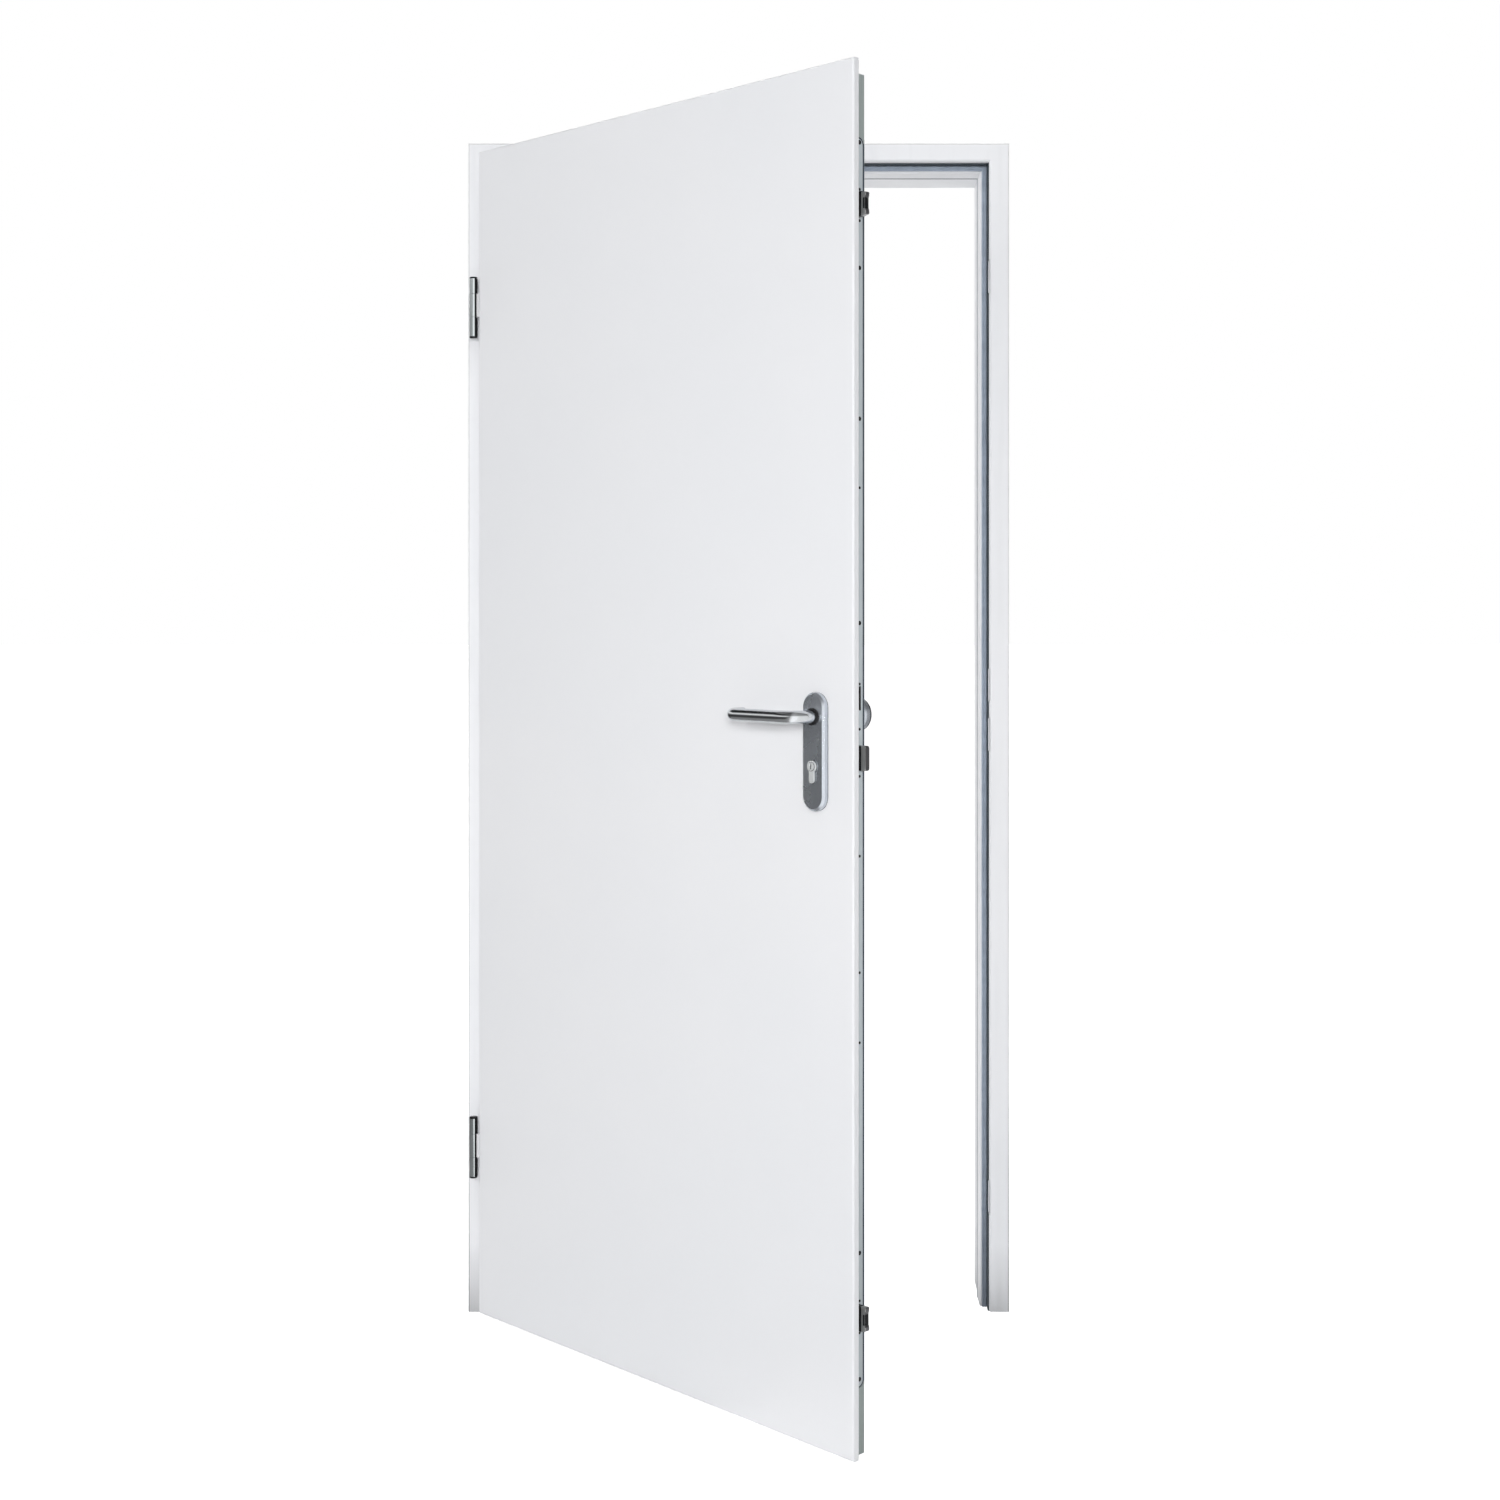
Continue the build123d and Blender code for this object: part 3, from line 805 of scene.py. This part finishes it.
def add_cylinder():
    """Profile cylinder with softened edges, a turned plug and a cut keyway, with a black keyway floor and black
    rings round the plug and the cylinder: painted shade of the keyway and the gaps.
    """
    front = Matrix(((1.0, 0.0, 0.0), (0.0, 0.0, -1.0), (0.0, 1.0, 0.0))).to_4x4()
    place = Matrix.Translation((X_LEVER, PLATE_FACES[0] - CYLINDER_PROUD, CYLINDER_LEVEL)) @ front
    length = PLATE_FACES[1] - PLATE_FACES[0] + 2 * CYLINDER_PROUD
    steps = [(grow, -depth) for grow, depth in CYLINDER_EDGE]
    steps += [(grow, depth - length) for grow, depth in reversed(CYLINDER_EDGE)]
    shape = bmesh.new()
    loft(shape, [[place @ Vector((x, z, out)) for x, z in euro_profile(grow)] for grow, out in steps])
    disc = circle(PLUG_RADIUS - PLUG_EASE, PLUG_STEPS)
    ring_plate(shape, disc, KEYWAY, LAYER_START, PLUG_PROUD, place)
    # Black ring round the plug, black keyway floor and black ring round the cylinder: painted shade of the gaps
    # and the keyway
    collar = circle(PLUG_RADIUS + COLLAR_GROW, PLUG_STEPS)
    ring_plate(shape, collar, disc, LAYER_START, COLLAR_TOP, place, SECOND)
    loft(shape, [[place @ Vector((x, z, out)) for x, z in KEYWAY_FLOOR] for out in FLOOR_RANGE], SECOND)
    outer, inner = (euro_profile(grow) for grow in SHADE_GAP_GROW)
    ring_plate(shape, outer, inner, LAYER_START - CYLINDER_PROUD, SHADE_GAP_TOP - CYLINDER_PROUD, place, SECOND)
    metals = [MATERIALS["nickel"], MATERIALS["black_plastic"]]
    piece("profile_cylinder", shape, "leaf", metals, on_leaf=True, node="lock_cylinder")


SEAT_GROW = 0.1
SEAT_THICKNESS = 0.9


def add_plate_seats():
    """Thin dark seat under each cover plate: painted shade along the plate's edge."""
    half = PLATE_SIZE[1] / 2 + SEAT_GROW
    outline = stadium(PLATE_SIZE[0] + 2 * SEAT_GROW, -half, half)
    front = (Y_LIP_FRONT - SEAT_THICKNESS, Y_LIP_FRONT)
    back = (Y_BODY_BACK, Y_BODY_BACK + SEAT_THICKNESS)
    shape = bmesh.new()
    for depths in (front, back):
        loft(shape, [[(X_LEVER + x, y, PLATE_LEVEL + z) for x, z in outline] for y in depths])
    piece("plate_shade_seats", shape, "leaf", [MATERIALS["black_plastic"]], on_leaf=True)


# Knob's section as (radius, depth), from its foot on the plate to the middle of its far face
KNOB_ROUND = (19.0, 67.0)
KNOB_PROFILE = (
    [(10.0, 33.0), (10.0, 52.5)]
    + arc((12.5, 52.5), 2.5, 180, 90, 5)[1:]
    + [(15.6, 55.0), (15.9, 55.5), (16.5, 55.5), (16.8, 55.0), (19.0, 55.0)]
    + arc((19.0, 61.0), 6.0, -90, 0, 10)[1:]
    + [(25.0, 66.8)]
    + arc(KNOB_ROUND, 5.85, 0, 60, 8)
    + arc(KNOB_ROUND, 6.0, 64, 90, 4)
    + [(14.0, 73.0), (13.6, 72.6), (12.8, 72.5), (6.0, 72.2), (0.5, 72.1)]
)
KNOB_BAND = arc(KNOB_ROUND, 6.0, 0, 62, 8) + arc(KNOB_ROUND, 5.6, 62, 0, 8)
KNOB_SIDES = 64


def add_knob():
    """Turned far-side knob with stepped rings and a dark band."""
    turn = Matrix.Rotation(math.radians(-90), 4, "X")
    place = Matrix.Translation((X_LEVER, 0.0, LEVER_LEVEL)) @ turn
    shape = bmesh.new()
    lathe(shape, KNOB_PROFILE, place, KNOB_SIDES)
    rings = []
    for a in around_turn(KNOB_SIDES):
        rings.append([place @ Vector((r * math.cos(a), r * math.sin(a), h)) for r, h in KNOB_BAND])
    hoop(shape, rings, SECOND)
    metals = [MATERIALS["satin_steel"], MATERIALS["dark_steel"]]
    piece("turned_knob", shape, "leaf", metals, on_leaf=True, node="knob")


# Stage: camera, lamps, world and floor

def add_camera():
    """Camera at the photograph's place, level, with its framing as a shift."""
    data = bpy.data.cameras.new("photo_camera")
    data.sensor_width = SENSOR
    data.lens = FOCAL_PIXELS / IMAGE_SIZE * SENSOR
    data.shift_x = 0.5 - AXIS_PIXEL[0] / IMAGE_SIZE
    data.shift_y = AXIS_PIXEL[1] / IMAGE_SIZE - 0.5
    camera = bpy.data.objects.new("photo_camera", data)
    camera.location = CAMERA_PLACE
    camera.rotation_euler = (math.pi / 2, 0.0, 0.0)
    bpy.context.scene.collection.objects.link(camera)
    bpy.context.scene.camera = camera


LAMP_TARGET = Vector((0.45, -0.3, 0.8))
# Lamps: azimuth from straight ahead, positive to the right, elevation, distance, size, watts, spread
LAMPS = {
    "front_lamp": (2.0, 12.0, 6.0, 1.2, 26.0, 70.0),
    "key_lamp": (-40.0, 20.0, 6.0, 1.6, 48.0, 180.0),
    "top_lamp": (10.0, 72.0, 4.5, 1.2, 25.0, 180.0),
    "back_left_lamp": (-132.0, -4.0, 5.0, 0.9, 112.0, 180.0),
    "back_right_lamp": (130.0, 0.0, 4.5, 1.5, 44.0, 180.0),
}


def add_lamp(name, azimuth, elevation, distance, size, power, spread):
    """Square soft box aimed at the door, left out of reflections, where the world has its own."""
    a, e = math.radians(azimuth), math.radians(elevation)
    away = Vector((math.sin(a) * math.cos(e), -math.cos(a) * math.cos(e), math.sin(e)))
    data = bpy.data.lights.new(name, "AREA")
    data.shape = "SQUARE"
    data.size = size
    data.energy = power
    data.spread = math.radians(spread)
    lamp = bpy.data.objects.new(name, data)
    lamp.location = LAMP_TARGET + away * distance
    lamp.rotation_euler = (-away).to_track_quat("-Z", "Y").to_euler()
    lamp.visible_glossy = False
    bpy.context.scene.collection.objects.link(lamp)


# Strength in reflections by direction round the upright: 0.5 is the camera's side, 0.75 the right
SEEN_ROUND = (
    (0.0, 1.0), (0.12, 0.8), (0.25, 0.3), (0.455, 0.35), (0.485, 1.3), (0.53, 1.3), (0.56, 1.0),
    (0.65, 0.95), (0.70, 0.5), (0.76, 0.26), (0.82, 0.4), (0.9, 0.8), (1.0, 1.0),
)
# Strength of the soft light, in the same directions, and all over
LIGHT_ROUND = ((0.0, 0.9), (0.12, 1.0), (0.25, 0.85), (0.5, 1.0), (0.7, 0.8), (0.8, 0.65), (1.0, 0.9))
AMBIENT = 0.5
# Strength in reflections by height, all round and on the left: a long soft box between dark cards
SEEN_UPWARD = ((0.6, 1.0), (0.75, 0.35), (1.0, 0.3))
SEEN_LEFT = (
    (0.0, 0.2), (0.49, 0.14), (0.54, 0.25), (0.575, 0.4), (0.60, 1.0), (0.67, 1.0), (0.72, 0.2),
    (0.76, 0.03), (0.83, 0.01), (0.9, 0.2), (1.0, 0.3),
)
LEFT_BLEND = (-0.55, -0.25)


def bearing(tree, direction):
    """Turn round the upright, as the ramps take it, how far a direction points left, and its height."""
    parts = add(tree, "ShaderNodeSeparateXYZ", Vector=direction).outputs
    ahead = math_node(tree, "MULTIPLY", parts["Y"], -1.0)
    turn = math_node(tree, "ARCTAN2", parts["X"], ahead)
    around = math_node(tree, "MULTIPLY_ADD", turn, 0.5 / math.pi, 0.5)
    return around, span(tree, parts["X"], 1.0, 0.0, *LEFT_BLEND), parts["Z"]


def by_ray(tree, plain, mirrored, seen):
    """One shader for light, one for reflections and one for the camera."""
    path = tree.nodes.new("ShaderNodeLightPath").outputs
    reflected = math_node(tree, "MAXIMUM", path["Is Glossy Ray"], path["Is Transmission Ray"])
    result = plain.outputs[0]
    for factor, shader in ((reflected, mirrored), (path["Is Camera Ray"], seen)):
        node = tree.nodes.new("ShaderNodeMixShader")
        for socket, value in zip(node.inputs, (factor, result, shader.outputs[0])):
            tree.links.new(value, socket)
        result = node.outputs[0]
    return result


def add_world():
    """White to the camera, a studio of soft boxes and dark cards in reflections, soft light elsewhere."""
    world = bpy.data.worlds.new("studio")
    bpy.context.scene.world = world
    world.use_nodes = True
    tree = world.node_tree
    tree.nodes.clear()
    direction = tree.nodes.new("ShaderNodeTexCoord").outputs["Generated"]
    around, left, height = bearing(tree, direction)
    upward = math_node(tree, "MULTIPLY_ADD", height, 0.5, 0.5)
    level = vector_node(tree, "MULTIPLY", ramp(tree, around, SEEN_ROUND), ramp(tree, upward, SEEN_UPWARD))
    shown = mixed(tree, left, level[0], ramp(tree, upward, SEEN_LEFT))
    light = add(tree, "ShaderNodeBackground", Color=ramp(tree, around, LIGHT_ROUND), Strength=AMBIENT)
    studio = add(tree, "ShaderNodeBackground", Color=shown, Strength=1.0)
    white = add(tree, "ShaderNodeBackground", Color=(1.0, 1.0, 1.0, 1.0), Strength=1.0)
    out = tree.nodes.new("ShaderNodeOutputWorld")
    tree.links.new(by_ray(tree, light, studio, white), out.inputs["Surface"])


FLOOR_HALF = 60.0
FLOOR_TONE = (0.8, 0.8, 0.8, 1.0)
FLOOR_ROUGH = 0.9
FLOOR_GLOW = 0.8
# Strength of the floor in reflections on the left, by distance as a share of a reach in metres
FLOOR_LEFT = ((0.0, 0.3), (0.3, 0.26), (0.5, 0.07), (1.0, 0.05))
FLOOR_REACH = 5.0


def add_floor():
    """Pale floor that shows white to the camera and keeps the object's shadow."""
    mesh = bpy.data.meshes.new("floor")
    shape = bmesh.new()
    bmesh.ops.create_grid(shape, x_segments=1, y_segments=1, size=FLOOR_HALF)
    shape.to_mesh(mesh)
    shape.free()
    floor = bpy.data.objects.new("floor", mesh)
    bpy.context.scene.collection.objects.link(floor)
    material, tree, shader = new_material("floor_white")
    shader.inputs["Base Color"].default_value = FLOOR_TONE
    shader.inputs["Roughness"].default_value = FLOOR_ROUGH
    middle = (-LAMP_TARGET.x, -LAMP_TARGET.y, 0.0)
    spot = add(tree, "ShaderNodeMapping", Vector=object_place(tree), Location=middle).outputs["Vector"]
    around, left, _ = bearing(tree, vector_node(tree, "NORMALIZE", spot)[0])
    away = math_node(tree, "DIVIDE", vector_node(tree, "LENGTH", spot)["Value"], FLOOR_REACH)
    shown = mixed(tree, left, ramp(tree, around, SEEN_ROUND), ramp(tree, away, FLOOR_LEFT))
    mirrored = add(tree, "ShaderNodeEmission", Color=shown, Strength=1.0)
    glow = add(tree, "ShaderNodeEmission", Strength=FLOOR_GLOW)
    glowing = tree.nodes.new("ShaderNodeAddShader")
    tree.links.new(shader.outputs[0], glowing.inputs[0])
    tree.links.new(glow.outputs[0], glowing.inputs[1])
    surface = by_ray(tree, shader, mirrored, glowing)
    tree.links.new(surface, tree.nodes["Material Output"].inputs["Surface"])
    mesh.materials.append(material)


dress_nodes()
add_seals()
add_gaskets()
add_seams()
add_face_edge_shade()
add_hinge_shade_sleeves()
add_edge_screws()
add_edge_channel()
add_back_edge_shade()
add_latch_mouth()
add_cylinder()
add_plate_seats()
add_bolts()
add_knob()
add_camera()
add_world()
add_floor()
for lamp_name, lamp_values in LAMPS.items():
    add_lamp(lamp_name, *lamp_values)
bpy.context.scene.view_settings.view_transform = "Standard"
